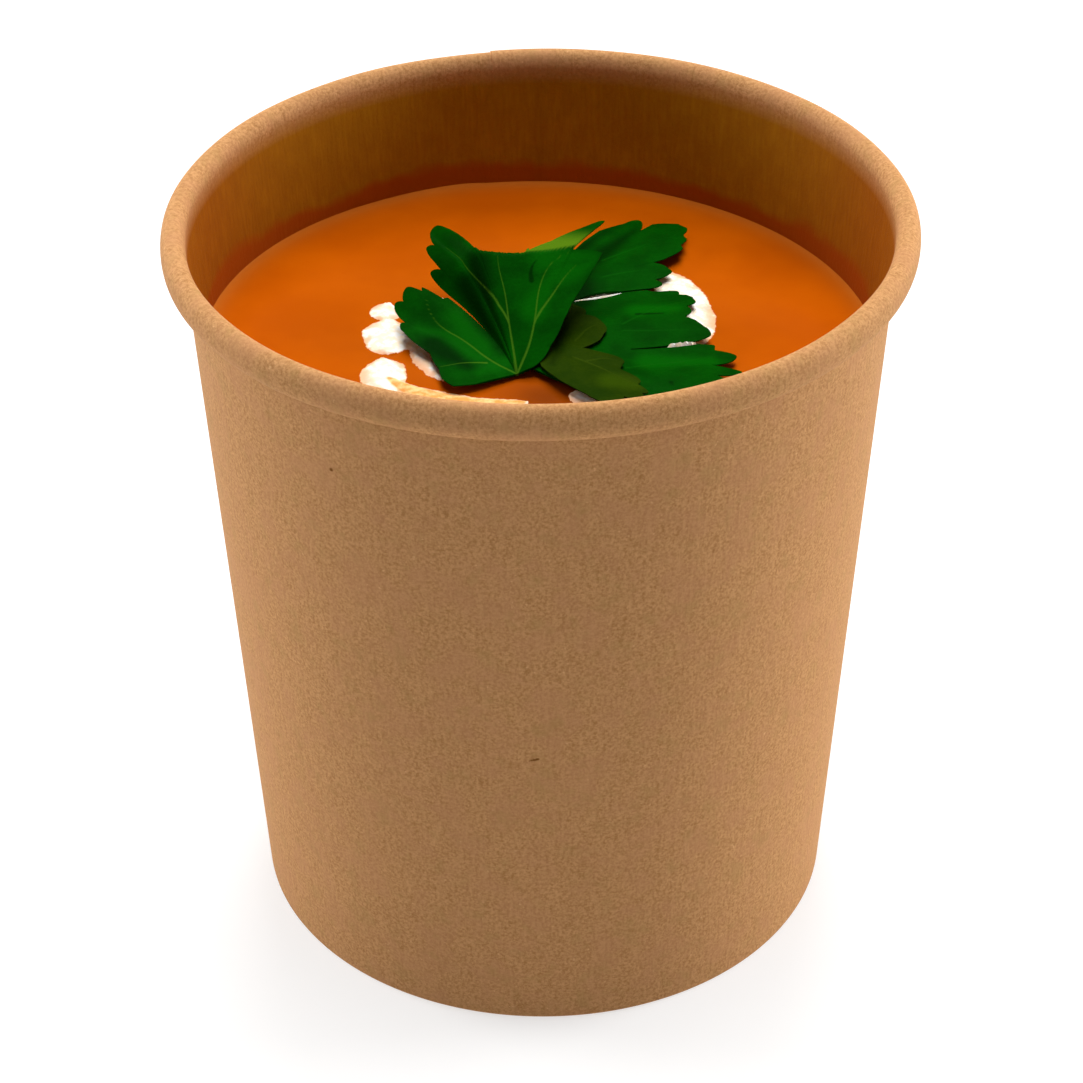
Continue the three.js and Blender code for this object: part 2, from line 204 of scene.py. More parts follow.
class Shader:
    """Node tree of one material, with its Principled shader and object coordinates in millimetres."""

    def __init__(self, name):
        self.material = bpy.data.materials.new(name)
        self.material.use_nodes = True
        self.tree = self.material.node_tree
        self.surface = self.tree.nodes["Principled BSDF"]
        place = self.tree.nodes.new("ShaderNodeTexCoord").outputs["Object"]
        self.place = self.vector("SCALE", place, Scale=1 / MM)

    def node(self, kind, **settings):
        made = self.tree.nodes.new(kind)
        for key, value in settings.items():
            setattr(made, key, value)
        return made

    def feed(self, socket, value):
        if isinstance(value, bpy.types.NodeSocket):
            self.tree.links.new(value, socket)
        else:
            socket.default_value = value

    def vector(self, operation, *inputs, **named):
        made = self.node("ShaderNodeVectorMath", operation=operation)
        for socket, value in zip(made.inputs, inputs):
            self.feed(socket, value)
        for key, value in named.items():
            self.feed(made.inputs[key], value)
        return made.outputs["Value" if operation == "DISTANCE" else "Vector"]

    def math(self, operation, *inputs):
        made = self.node("ShaderNodeMath", operation=operation)
        for socket, value in zip(made.inputs, inputs):
            self.feed(socket, value)
        return made.outputs[0]

    def noise(self, size, stretch=(1, 1, 1), detail=3, rough=0.55, offset=(0, 0, 0)):
        """Noise with features of a size in millimetres, drawn out along the axes by stretch."""
        scaled = self.vector("DIVIDE", self.place, tuple(size * s for s in stretch))
        moved = self.vector("ADD", scaled, offset)
        made = self.node("ShaderNodeTexNoise")
        self.feed(made.inputs["Vector"], moved)
        made.inputs["Scale"].default_value = 1
        made.inputs["Detail"].default_value = detail
        made.inputs["Roughness"].default_value = rough
        return made.outputs["Fac"]

    def ramp(self, value, low, high, start=0.0, end=1.0):
        """A number that eases from start to end while the value goes from low to high."""
        made = self.node("ShaderNodeMapRange", interpolation_type="SMOOTHSTEP")
        keys = ("Value", "From Min", "From Max", "To Min", "To Max")
        for key, number in zip(keys, (value, low, high, start, end)):
            self.feed(made.inputs[key], number)
        return made.outputs["Result"]

    def mix(self, share, first, second):
        """The first colour, changed towards the second by a share."""
        made = self.node("ShaderNodeMix", data_type="RGBA")
        self.feed(made.inputs["Factor"], share)
        self.feed(made.inputs[6], colour(first))
        self.feed(made.inputs[7], colour(second))
        return made.outputs[2]

    def value(self, name):
        """A number that the mesh carries at its points."""
        return self.node("ShaderNodeAttribute", attribute_name=name).outputs["Fac"]

    def bump(self, height, depth, before=None):
        """Bump of a depth in millimetres, stacked on one made before."""
        made = self.node("ShaderNodeBump")
        made.inputs["Distance"].default_value = depth * MM
        self.feed(made.inputs["Height"], height)
        if before is not None:
            self.feed(made.inputs["Normal"], before)
        return made.outputs["Normal"]

    def split(self, vector):
        made = self.node("ShaderNodeSeparateXYZ")
        self.feed(made.inputs[0], vector)
        return made.outputs

    def join(self, x, y, z):
        made = self.node("ShaderNodeCombineXYZ")
        for socket, value in zip(made.inputs, (x, y, z)):
            self.feed(socket, value)
        return made.outputs[0]

    def finish(self, color, rough, normal=None, **constant):
        self.feed(self.surface.inputs["Base Color"], color)
        self.feed(self.surface.inputs["Roughness"], rough)
        if normal is not None:
            self.feed(self.surface.inputs["Normal"], normal)
        for key, number in constant.items():
            self.surface.inputs[key.replace("_", " ")].default_value = number
        return self.material


def colour(value):
    """Three numbers get an alpha of one, and anything else stays as it is."""
    return (*value, 1) if isinstance(value, tuple) and len(value) == 3 else value


# Kraft board

BOARD_LIGHT = (0.552, 0.293, 0.124)
BOARD_DARK = (0.329, 0.151, 0.052)
BOARD_PINK = (0.445, 0.211, 0.097)
BOARD_GREEN = (0.374, 0.211, 0.074)
# Inner side: partly the lining's own colour, partly painted shade and painted orange light from the
# soup, at the sides and the back
SIDE_LIGHT = (0.32, 0.095, 0.002)
SIDE_DARK = (0.24, 0.062, 0.001)
BACK_LIGHT = (0.37, 0.165, 0.004)
BACK_DARK = (0.27, 0.106, 0.002)
BOARD_SPECK = (0.75, 0.46, 0.22)
STAIN = (0.31, 0.05, 0.0008)
# Painted shadow line on the inner side, where the outer layer's cut edge presses through at the seam
SEAM_SHADOW = (0.14, 0.05, 0.001)
FLECK = (0.14, 0.043, 0.004)

# Dark flecks by azimuth, height and half width: one round, the rest in a row as one splinter
FLECKS = [
    (235.2, 88.8, 0.3),
    (267.55, 47.23, 0.14),
    (267.9, 47.3, 0.18),
    (268.3, 47.38, 0.2),
    (268.65, 47.46, 0.21),
    (269, 47.54, 0.2),
]


def streaks(shader, width, height):
    """Noise drawn out up the wall, the same all round the cup."""
    x, y, z = shader.split(shader.place)
    around = shader.math("MULTIPLY", shader.math("ARCTAN2", y, x), BASE_RADIUS)
    flat = shader.join(shader.math("DIVIDE", around, width), 0, shader.math("DIVIDE", z, height))
    made = shader.node("ShaderNodeTexNoise")
    shader.feed(made.inputs["Vector"], flat)
    made.inputs["Scale"].default_value = 1
    made.inputs["Detail"].default_value = 3
    return made.outputs["Fac"]


def mottled_board(shader, fibre, vertical):
    """Brown fibres with pinkish, greenish and pale patches, and faint upright streaks."""
    cloud = shader.noise(5, detail=3)
    patch = shader.noise(3.4, detail=4, rough=0.65, offset=(7, 3, 1))
    speck = shader.noise(0.6, detail=1, offset=(2, 9, 4))
    grain = shader.mix(shader.ramp(fibre, 0.3, 0.7), BOARD_DARK, BOARD_LIGHT)
    tone = shader.mix(shader.ramp(cloud, 0.42, 0.68, 0, 0.5), grain, BOARD_PINK)
    tone = shader.mix(shader.ramp(patch, 0.5, 0.72, 0, 0.5), tone, BOARD_GREEN)
    tone = shader.mix(shader.ramp(speck, 0.7, 0.8, 0, 0.4), tone, BOARD_SPECK)
    return shader.mix(shader.ramp(vertical, 0.35, 0.75, 0, 0.3), tone, BOARD_LIGHT)


def flecked(shader, tone, fibre):
    """The same colour with the dark flecks of the outer wall."""
    soft, strength = 0.2, 0.9
    for azimuth, height, size in FLECKS:
        place = tuple(on_oval(body_radius(height), azimuth, height).tolist())
        away = shader.vector("DISTANCE", shader.place, place)
        rough_away = shader.math("ADD", away, shader.math("MULTIPLY", fibre, soft))
        near = shader.ramp(rough_away, size, size + soft, strength, 0)
        tone = shader.mix(near, tone, FLECK)
    return tone


def board_material(name, lined):
    """Uncoated kraft board; where lined, the attribute inside marks the side that faces the soup."""
    relief = 0.05
    shader = Shader(name)
    fibre = shader.noise(0.42, detail=4, rough=0.7)
    vertical = streaks(shader, 0.5, 5)
    tone = flecked(shader, mottled_board(shader, fibre, vertical), fibre)
    if lined:
        tone = lined_colour(shader, tone, fibre, vertical)
    normal = shader.bump(vertical, relief, shader.bump(fibre, relief))
    rough = shader.ramp(fibre, 0.2, 0.8, 0.72, 0.9)
    sheen = {"Specular_IOR_Level": 0.1, "Specular_Tint": (1, 0.7, 0.4, 1)}
    return shader.finish(tone, rough, normal, **sheen)


def lined_colour(shader, outside, fibre, vertical):
    """Darkens the inner side, partly for its lining and partly as painted shade and painted orange
    light from the soup, towards the back less, and stains it above the soup.
    """
    x, y, z = shader.split(shader.place)
    back = shader.ramp(y, 8, 42)
    dark = shader.mix(back, SIDE_DARK, BACK_DARK)
    light = shader.mix(back, SIDE_LIGHT, BACK_LIGHT)
    blotch = shader.noise(2.2, stretch=(1, 1, 1.6), detail=4, rough=0.6, offset=(6, 2, 9))
    tone = shader.mix(shader.ramp(vertical, 0.25, 0.75, 0.2, 0.8), dark, light)
    tone = shader.mix(shader.ramp(blotch, 0.35, 0.65, 0, 0.6), tone, dark)
    tone = shader.mix(shader.ramp(fibre, 0.35, 0.7, 0, 0.35), tone, light)
    tone = shader.mix(stain_share(shader, x, z), tone, STAIN)
    # Painted shadow line along the seam's pressed-through edge
    tone = shader.mix(shader.math("MULTIPLY", shader.value("seam"), 0.2), tone, SEAM_SHADOW)
    return shader.mix(shader.value("inside"), outside, tone)


def stain_share(shader, x, z):
    """How far the soup has soaked in, up to an uneven edge a few millimetres above its level."""
    level = shader.math("ADD", shader.math("MULTIPLY", x, SOUP_SLOPE), SOUP_LEVEL)
    above = shader.math("SUBTRACT", z, level)
    edge = shader.noise(12, detail=3, offset=(3, 1, 5))
    reach = shader.ramp(edge, 0.3, 0.7, 2.5, 5)
    return shader.ramp(shader.math("DIVIDE", above, reach), 0.6, 1.25, 0.85, 0)


def wall_side(line, azimuths, sign, cut, soft):
    """Points of one side of the board, outside with sign 1 and inside with sign -1."""
    across = outward(line)
    bead_share = smooth(line[:, 1], CUP_HEIGHT - 2 * BEAD_HEIGHT, CUP_HEIGHT)
    uneven = 0.05 * sine(5 * azimuths + 40) + 0.03 * sine(13 * azimuths)
    seam = seam_shift(azimuths, cut, soft) * (1 - SEAM_FADE * bead_share)
    shift = sign * BOARD / 2 + seam
    radius = line[:, 0] + across[:, 0] * shift + uneven * bead_share
    height = np.maximum(line[:, 1] + across[:, 1] * shift, 0)
    return on_oval(radius, azimuths, height)


def lining_share(line):
    """How far the inner side looks lined along the board: fully up the wall, fading out on the bead."""
    fade_from = CUP_HEIGHT - BEAD_HEIGHT + 0.5
    fade_to = CUP_HEIGHT - BEAD_HEIGHT + 3.6
    before_crown = np.arange(len(line)) < np.argmax(line[:, 1])
    on_wall = (line[:, 0] > BASE_RADIUS - BOARD) & before_crown
    return np.where(on_wall, 1 - smooth(line[:, 1], fade_from, fade_to), 0)


def cup_wall():
    line = board_line()
    azimuths = seam_azimuths(400)[:, None]
    below_bead = smooth(line[:, 1], CUP_HEIGHT - 1, CUP_HEIGHT - BEAD_HEIGHT)
    outer = wall_side(line, azimuths, 1, OUTER_CUT, CUT_STEP)
    inner = wall_side(line, azimuths, -1, INNER_CUT, CUT_STEP + SOFT_STEP * below_bead)
    points = np.concatenate([outer, inner[:, ::-1]], axis=1)
    inside = np.concatenate([np.zeros(len(line)), lining_share(line)[::-1]])
    # Where the seam's painted shadow line lies on the inner side
    seam = np.exp(-((azimuths - OUTER_CUT - 0.6) / 0.9) ** 2)
    values = {
        "inside": np.broadcast_to(inside, points.shape[:2]),
        "seam": np.broadcast_to(seam, points.shape[:2]),
    }
    faces = wrap_faces(len(azimuths), points.shape[1])
    material = board_material("kraft_board", lined=True)
    make_piece("paper_wall", points, faces, material, "cup_wall", values)


def skirt_radius(z):
    return body_radius(z) - BOARD - GAP


def cup_base():
    """A pressed disc with a turned-down skirt, just inside the wall."""
    low = BOARD + GAP
    under = DISC_TOP - BOARD
    corner = (skirt_radius(DISC_TOP) - DISC_BEND, DISC_TOP - DISC_BEND)
    inner_bend = DISC_BEND - BOARD
    section = np.concatenate([
        straight((HUB, under), (corner[0], under), 12),
        arc(corner, inner_bend, inner_bend, 90, 0, 6),
        [(skirt_radius(low) - BOARD, low), (skirt_radius(low), low)],
        arc(corner, DISC_BEND, DISC_BEND, 0, 90, 8),
        straight((corner[0], DISC_TOP), (HUB, DISC_TOP), 12)[1:],
        [(HUB, DISC_TOP)],
    ])
    columns = 240
    azimuths = np.arange(columns)[:, None] * 360 / columns
    points = on_oval(section[:, 0], azimuths, section[:, 1])
    faces = turned_faces(columns, len(section))
    material = board_material("base_board", lined=False)
    make_piece("paper_base", points, faces, material, "cup_base")


# Soup with its cream

SOUP_DARK = (0.405, 0.069, 0.0002)
SOUP_LIGHT = (0.465, 0.085, 0.0003)
SOUP_SPECK = (0.42, 0.055, 0.0002)
SOUP_EDGE = (0.5, 0.15, 0.02)
# Painted shadow of the leaves on the soup in front of their base
SOUP_SHADE = (0.17, 0.03, 0.001)
CREAM_WHITE = (0.95, 0.93, 0.88)
CREAM_WARM = (0.93, 0.8, 0.6)
CREAM_THIN = (0.84, 0.48, 0.27)
STRIP_DARK = (0.78, 0.32, 0.08)
STRIP_LIGHT = (0.93, 0.6, 0.26)

# How far the soup's edge reaches into the wall, and how far from the wall its last rings lie
TOUCH = 0.12
WALL_STEPS = (1.6, 1.1, 0.8, 0.55, 0.35, 0.2, 0.1, 0)

# Strokes of cream round the swirl's centre: from and to azimuth, from and to radius, and width
CREAM_HEIGHT = 0.65
RIDGE_HEIGHT = 1.4
SWIRL_CENTRE = (0, 2)
STROKES = [
    (158, 170, 22.2, 21.6, 4.4),
    (169, 194, 20.6, 20.4, 7),
    (196, 217, 22, 24.2, 6.6),
    (172, 194, 18.6, 16.6, 4.4),
    (186, 222, 16.9, 16.6, 2.8),
    (208, 264, 23, 16.6, 4.4),
    (283, 335, 15.6, 20, 8),
    (340, 412, 17.5, 24, 7.4),
    (35, 70, 20, 8, 4),
    (144, 154, 16.4, 16, 3),
]

# The stroke that is a thin yellow strip
STRIP = 5


def stroke_depth(stroke, azimuth, radius, ragged):
    """How deep a point lies inside a stroke of cream: as a share, and in millimetres from its edge."""
    start, end, from_radius, to_radius, width = stroke
    turned = np.where(azimuth < start, azimuth + 360, azimuth)
    along = (turned - start) / (end - start)
    within = np.clip(along, 0.001, 0.999)
    half = (width / 2) * np.sqrt(np.sin(np.pi * within)) * ragged
    off = np.abs(radius - (from_radius + (to_radius - from_radius) * within)) / half
    covered = (along > 0) & (along < 1)
    return np.where(covered, 1 - off, -1), np.where(covered, (1 - off) * half, -1)


def cream_depth(x, y):
    """Depth inside the cream as a share and in millimetres, and depth inside the yellow strip."""
    dx, dy = x - SWIRL_CENTRE[0], y - SWIRL_CENTRE[1]
    azimuth = np.degrees(np.arctan2(dy, dx)) % 360
    radius = np.hypot(dx, dy)
    ragged = 1 + 0.04 * sine(azimuth * 13) + 0.03 * sine(azimuth * 31)
    depths = np.array([stroke_depth(stroke, azimuth, radius, ragged) for stroke in STROKES])
    share, thickness = depths.max(axis=0)
    return share, thickness, np.clip(depths[STRIP, 1], 0, 1)


def slit_ridge(x, y):
    """Cream that rises into the slits of the broad leaf: 1 along each slit, 0 away from it."""
    ridge = np.zeros(np.broadcast(x, y).shape)
    for azimuth, _, near, far, half in BROAD_LEAF["slits"]:
        wide = 0.24 + 0.14 * half
        both = np.array([azimuth, azimuth])
        start, end = leaf_point(BROAD_LEAF, both, np.array([near + 0.6, far - 0.4]))[:, :2]
        along = end - start
        from_start = np.stack([x - start[0], y - start[1]], -1)
        share = np.clip((from_start @ along) / (along @ along), 0, 1)
        off = np.linalg.norm(from_start - share[..., None] * along, axis=-1)
        ridge = np.maximum(ridge, np.exp(-(off / wide) ** 2))
    return ridge


def broth_colour(shader, cloud, specks):
    """Orange soup, paler at the wall, with a painted shadow of the leaves in front of them."""
    broth = shader.mix(shader.ramp(cloud, 0.3, 0.7), SOUP_DARK, SOUP_LIGHT)
    broth = shader.mix(shader.ramp(specks, 0.62, 0.75, 0, 0.25), broth, SOUP_SPECK)
    broth = shader.mix(shader.math("MULTIPLY", shader.value("edge"), 0.8), broth, SOUP_EDGE)
    return shader.mix(shader.math("MULTIPLY", shader.value("front"), 0.9), broth, SOUP_SHADE)


def cream_colour(shader, depth):
    """White where the cream is thick, tinged with soup where it is thin, and yellow in the strip."""
    patch = shader.noise(1.1, detail=4, offset=(1, 8, 3))
    wide_patch = shader.noise(3.5, detail=3, offset=(4, 3, 8))
    thick = shader.mix(shader.ramp(patch, 0.4, 0.62), CREAM_WARM, CREAM_WHITE)
    tinged = shader.math("ADD", shader.ramp(wide_patch, 0.42, 0.64, 0.4, 2.6), 0.4)
    cream = shader.mix(shader.ramp(depth, 0.35, tinged), CREAM_THIN, thick)
    yellow = shader.mix(shader.ramp(patch, 0.35, 0.65), STRIP_DARK, STRIP_LIGHT)
    return shader.mix(shader.ramp(shader.value("strip"), 0, 0.5), cream, yellow)


def soup_material():
    shader = Shader("soup_and_cream")
    cloud = shader.noise(16, detail=3, offset=(2, 7, 1))
    specks = shader.noise(0.7, detail=2, offset=(5, 5, 5))
    fine = shader.noise(0.8, detail=4, offset=(9, 2, 4))
    depth = shader.math("ADD", shader.value("cream"), shader.math("MULTIPLY", fine, 0.85))
    broth = broth_colour(shader, cloud, specks)
    color = shader.mix(shader.ramp(depth, 0.38, 0.56), broth, cream_colour(shader, depth))
    rough = shader.ramp(specks, 0.2, 0.8, 0.3, 0.42)
    normal = shader.bump(cloud, 0.25)
    sheen = {"Specular_IOR_Level": 0.02, "Specular_Tint": (1, 0.45, 0.02, 1)}
    return shader.finish(color, rough, normal, **sheen)


def soup_rings():
    """Radii from the hub to the wall, close together under the cream and beside the wall."""
    cream_from, cream_to = 7, 28
    fill = body_radius(SOUP_LEVEL) - BOARD
    under_cream = np.linspace(cream_from, cream_to, 64)
    beyond = np.linspace(cream_to, fill - 2.4, 14)[1:]
    return np.concatenate([[HUB, 4], under_cream, beyond, fill - np.array(WALL_STEPS)])


def soup_height(x, y, cream, ridge, to_wall):
    """Level of the soup with its cream, faint swells and the rim that clings to the wall."""
    climb = 0.9 * np.exp(-to_wall / 0.55)
    swell = 0.12 * sine(x * 14 + y * 9) * sine(y * 11 - x * 4) * smooth(to_wall, 0, 6)
    dome = 0.6 * CREAM_HEIGHT * smooth(cream, 0, 0.6) + RIDGE_HEIGHT * ridge
    return SOUP_LEVEL + SOUP_SLOPE * x + climb + swell + dome


def inward(numbers, below):
    """Numbers at the soup's points: one number for hub and foot, then the surface from the wall in."""
    return np.concatenate([np.full((len(numbers), 2), below), numbers[:, ::-1]], axis=1)


def soup():
    bottom = DISC_TOP + GAP
    columns = 520
    azimuths = np.arange(columns)[:, None] * 360 / columns
    rings = soup_rings()
    share = rings / rings[-1]
    seam = seam_shift(azimuths, INNER_CUT, SOFT_STEP) * share ** 20
    surface = on_oval(share * (rings[-1] + TOUCH + seam), azimuths, SOUP_LEVEL)
    x, y = surface[..., 0], surface[..., 1]
    cream, thickness, strip = cream_depth(x, y)
    ridge = slit_ridge(x, y)
    to_wall = rings[-1] - rings
    surface[..., 2] = soup_height(x, y, cream, ridge, to_wall)
    foot = on_oval(body_radius(bottom) - BOARD + TOUCH, azimuths, np.array([bottom]))
    hub = on_oval(np.array([HUB]), azimuths, np.array([bottom]))
    points = np.concatenate([hub, foot, surface[:, ::-1]], axis=1)
    edge = np.broadcast_to(np.exp(-to_wall / 0.9), cream.shape)
    # Where the leaves' painted shadow lies on the soup
    front = np.exp(-((x - 0.8) / 7) ** 2 - ((y + 13) / 5) ** 2)
    values = {
        "cream": inward(np.maximum(thickness, 3 * ridge - 0.6), -1.0),
        "strip": inward(strip, 0.0),
        "edge": inward(edge, 0.0),
        "front": inward(front, 0.0),
    }
    faces = turned_faces(columns, points.shape[1])
    make_piece("soup_surface", points, faces, soup_material(), "soup", values, sharp=60)


# Parsley leaves

LEAF_THICKNESS = 0.32
TOOTH_ROUND = 0.7
LINE_WIDTHS = {"ribs": 0.14, "creases": 0.3, "shades": 1.5, "lights": 1.5}
LEAF_PALE = (0.068, 0.15, 0.004)
DEEP = {"dark": (0.0005, 0.036, 0.0003), "light": (0.0008, 0.056, 0.0005), "rib": (0.003, 0.08, 0.002)}
OLIVE = {"dark": (0.009, 0.026, 0.0003), "light": (0.017, 0.036, 0.0004), "rib": (0.03, 0.055, 0.002)}
BRIGHT = {"dark": (0.0005, 0.032, 0.0003), "light": (0.0009, 0.054, 0.0005), "rib": (0.06, 0.17, 0.008)}

# Veins are (azimuth, reach, turn, rise, slope after the fold). The outline goes round by azimuth and
# reach, with a third value of 1 at the rounded tip of a tooth. Slits are (azimuth, floor, opening
# from, to, and its half width in degrees). The lines on a leaf go by azimuth and distance; the
# creases and shades carry painted shade, and the lights carry painted highlights.

FOLDED_LEAF = {
    "base": (-3.2, -8.7), "lift": 0.8, "fold": 15.6, "ripple": 0.04,
    "veins": [
        (8, 3, 0, 0.45, 0),
        (50, 19, 0, 0.53, 0),
        (64, 26, 8, 0.58, 0),
        (84, 19, 0, 0.605, 0),
        (88, 19, 0, 0.6, -0.9),
        (96, 19, 0, 0.595, -0.9),
        (108, 20, -5, 0.585, -0.9),
        (110.5, 24, -6.5, 0.58, 0),
        (119, 25, -11, 0.44, 0.1),
        (128, 20, -16, 0.24, 0.2),
        (150, 18, 0, 0.12, 0.1),
        (180, 11, 0, 0.07, 0.05),
        (210, 9, 0, 0.05, 0),
    ],
    "outline": [
        (8, 2), (34, 5.3), (45.5, 8.8), (49.5, 11.2), (51.5, 16.4), (52.5, 18.7), (56, 18.4),
        (60, 17.6), (61.9, 17.3), (62.35, 21.1), (62.5, 24.4), (63, 26, 1), (64.3, 25.7),
        (67.6, 23.2), (75.6, 18.9), (84, 16.3), (92, 18.8, 1), (96.5, 17.8), (101, 19.2, 1),
        (105, 17.9), (109.3, 17.4), (111, 17.2), (115.5, 25.6, 1), (120.6, 22.5), (121.9, 23.1, 1),
        (123.3, 20.9), (123.8, 19.3), (125.2, 20.3, 1), (127.1, 16.5), (128.5, 16), (130.6, 16.2),
        (131.5, 19.3, 1), (132.7, 18.8), (135.3, 20.8, 1), (140.2, 19.7), (142.2, 20.5, 1),
        (147.8, 17.4), (149.4, 17.9, 1), (153.8, 16.8), (158.6, 14.6), (164, 11.9), (179.4, 10.2),
        (192.3, 10), (204.4, 9.1), (208.9, 6.2),
    ],
    "slits": [(127.8, 6, 6, 12, 0)],
    "ribs": [
        [(100.2, 0), (100.2, 3), (100.4, 6.1), (98.6, 9.8), (100.7, 13.5), (99.9, 15.2)],
        [(99.4, 6.6), (108.1, 8.7), (113.7, 11.7), (117.8, 16), (117.6, 17.6), (118.5, 21)],
        [(59.7, 0), (59.7, 3.4), (64.6, 7.1), (71.7, 10.2), (72.3, 12.7), (69.2, 15), (62.8, 16.7)],
        [(64.8, 7.2), (61, 10.1), (59.7, 13.6), (58.2, 15.6)],
        [(150, 0), (145.7, 4.5), (141.9, 8.6), (142.4, 13), (138.6, 16), (134, 17.9)],
        [(155.2, 4.4), (162.9, 5.8), (177.2, 10.1)],
    ],
    "creases": [
        [(80.4, 12), (82, 12.9), (81.2, 14.2), (77.9, 15.2)],
    ],
    "shades": [
        [(121, 14.5), (123, 11), (126, 7.5), (131, 4)],
        [(112, 15), (116, 11), (119, 8)],
        [(156, 12), (163, 8.5), (172, 6.5)],
    ],
    "lights": [
        [(74, 15.2), (63, 16), (54.5, 17.6)],
        [(62, 13.6), (56.5, 15), (54, 17)],
        [(70, 8.5), (66, 12.5), (61, 16)],
        [(144, 6), (146, 12), (148, 15.5)],
        [(138, 3), (160, 3.5), (185, 5)],
        [(140, 7), (134, 13)],
    ],
}

BROAD_LEAF = {
    "base": (-7, 0.5), "lift": 1.3, "fold": math.inf, "ripple": 0.25,
    "veins": [
        (-40, 26, -28, 0, 0),
        (-4, 30, -28, 0.005, 0),
        (12, 28, 0, 0.01, 0),
        (27, 26, 20, 0.005, 0),
        (39, 31, 13, 0.008, 0),
        (61, 37, 0, 0.008, 0),
    ],
    "outline": [
        (-38, 20), (-35, 28, 1), (-32, 26.5), (-28.5, 31.5, 1), (-25.5, 29.5), (-21.5, 33.5, 1),
        (-18.5, 31.5), (-15, 34.4, 1), (-13.6, 30.1), (-8.2, 33.1, 1), (-6.2, 30.1),
        (-4.6, 30.1, 1), (-3.3, 29.3), (-2.15, 27.9), (-0.85, 27.6), (0.6, 29.6, 1), (3.9, 28.9),
        (7.5, 27.8), (9.8, 26.6), (13, 27.9, 1), (15.8, 27.6), (17.8, 29.3, 1), (20.5, 29.4),
        (22.3, 28.9), (23.4, 28), (24.8, 28.3, 1), (27.3, 25), (28.25, 24.6), (28.95, 25),
        (30.4, 27.3, 1), (32.4, 26.9), (34, 30.1, 1), (37, 30), (39.2, 29.3), (39.5, 33),
        (40.6, 35.1, 1), (41.8, 35.6), (43, 37.3, 1), (44.7, 38), (46.3, 39.6, 1), (48.6, 39.8),
        (51.2, 38.8), (53, 37.8), (53.5, 35), (56.4, 37.7, 1), (58.3, 35.8), (60.1, 33.8),
        (61.6, 32), (62.6, 28),
    ],
    "slits": [(-1.5, 19.2, 23.4, 27.9, 0.1), (28.6, 14.3, 14, 21.5, 2)],
    "ribs": [
        [(49.9, 24.9), (48.3, 28.6), (47.6, 33.2), (45.8, 37.2)],
        [(8.7, 18), (15.8, 22.5), (18.1, 25.7), (19.2, 28.5)],
        [(5.9, 17.9), (4.8, 22.5), (3.9, 26.4), (1.6, 28.8)],
        [(-16.3, 19.8), (-11.8, 22.3), (-11, 25.5), (-9.5, 28.7), (-8.1, 32.4)],
        [(39.8, 21.3), (37.7, 25.6), (35.3, 29.6)],
    ],
    "creases": [
        [(-25.6, 26.6), (-28, 27.2)],
        [(14, 20.5), (12.6, 24)],
    ],
    "shades": [
        [(61, 20), (61.4, 25), (61, 29), (60, 32.5)],
        [(53, 24), (54, 30), (54.5, 35)],
        [(27, 15), (38, 17), (46.7, 20.6), (53, 24.6), (57, 28)],
    ],
    "lights": [
        [(16, 21), (15, 26)],
        [(-10, 22), (-12, 30)],
    ],
}

OLIVE_LEAF = {
    "base": (-1.5, -1.5), "lift": 2.15, "fold": math.inf, "ripple": 0.12,
    "veins": [
        (-78, 12, 0, -0.02, 0),
        (-45, 21, 0, 0, 0),
        (-27, 12, 0, 0, 0),
        (75, 10, 0, 0.02, 0),
    ],
    "outline": [
        (-78, 7), (-72, 9.5), (-66.8, 12.3), (-62.2, 15.4), (-54.5, 19.6, 1), (-50, 18.8),
        (-45.5, 20.8, 1), (-42.8, 19.6), (-41, 20.2, 1), (-38.9, 18), (-37, 17.9, 1), (-34.3, 16.2),
        (-33.3, 14.1), (-27, 13.8, 1), (-22, 11.8), (-20.3, 7.4), (-10.7, 8.3), (-3.3, 9.2),
        (6.4, 9.9), (15.3, 10.5, 1), (31.9, 10.1), (38.2, 9.3), (44.8, 10.2, 1), (56, 10.4),
        (66, 10), (75, 9),
    ],
    "slits": [],
    "ribs": [
        [(-8.2, 6), (12.8, 7.3), (21.4, 9.2), (17.7, 9.9)],
        [(-41, 7.5), (-38.8, 11.1), (-39.7, 14.6), (-40.4, 18.9)],
        [(-39, 9.4), (-27.2, 10.9), (-27.2, 13.3)],
    ],
    "creases": [],
    "shades": [
        [(70, 7.5), (40, 4), (0, 3.5), (-40, 4.5), (-66, 7)],
    ],
    "lights": [
        [(-45, 15), (-40, 18)],
    ],
}


def vein_value(leaf, azimuth, index):
    """One of the veins' numbers at an azimuth, eased from each vein to the next."""
    veins = leaf["veins"]
    at = np.array([vein[0] for vein in veins], dtype=float)
    numbers = np.array([vein[index] for vein in veins], dtype=float)
    held = np.clip(azimuth, at[0], at[-1])
    place = np.clip(np.searchsorted(at, held) - 1, 0, len(veins) - 2)
    share = smooth(held, at[place], at[place + 1])
    return numbers[place] + (numbers[place + 1] - numbers[place]) * share


def crest_distance(leaf, azimuth):
    """Distance at which the leaf folds over, along a straight crest across it."""
    return leaf["fold"] / np.maximum(sine(azimuth), 0.1)


def leaf_point(leaf, azimuth, distance):
    """A point of the leaf's middle face: it rises to the crest, waves, and its veins bend sideways."""
    crest = crest_distance(leaf, azimuth)
    rise, after = vein_value(leaf, azimuth, 3), vein_value(leaf, azimuth, 4)
    wave = leaf["ripple"] * sine(azimuth * 11) * distance / leaf["veins"][1][1]
    up = rise * np.minimum(distance, crest) + after * np.maximum(distance - crest, 0) + wave
    rest = np.clip(1 - distance / vein_value(leaf, azimuth, 1), 0, 1)
    heading = azimuth + vein_value(leaf, azimuth, 2) * rest
    x = leaf["base"][0] + distance * cosine(heading)
    y = leaf["base"][1] + distance * sine(heading)
    return np.stack([x, y, SOUP_LEVEL + SOUP_SLOPE * x + leaf["lift"] + up], -1)


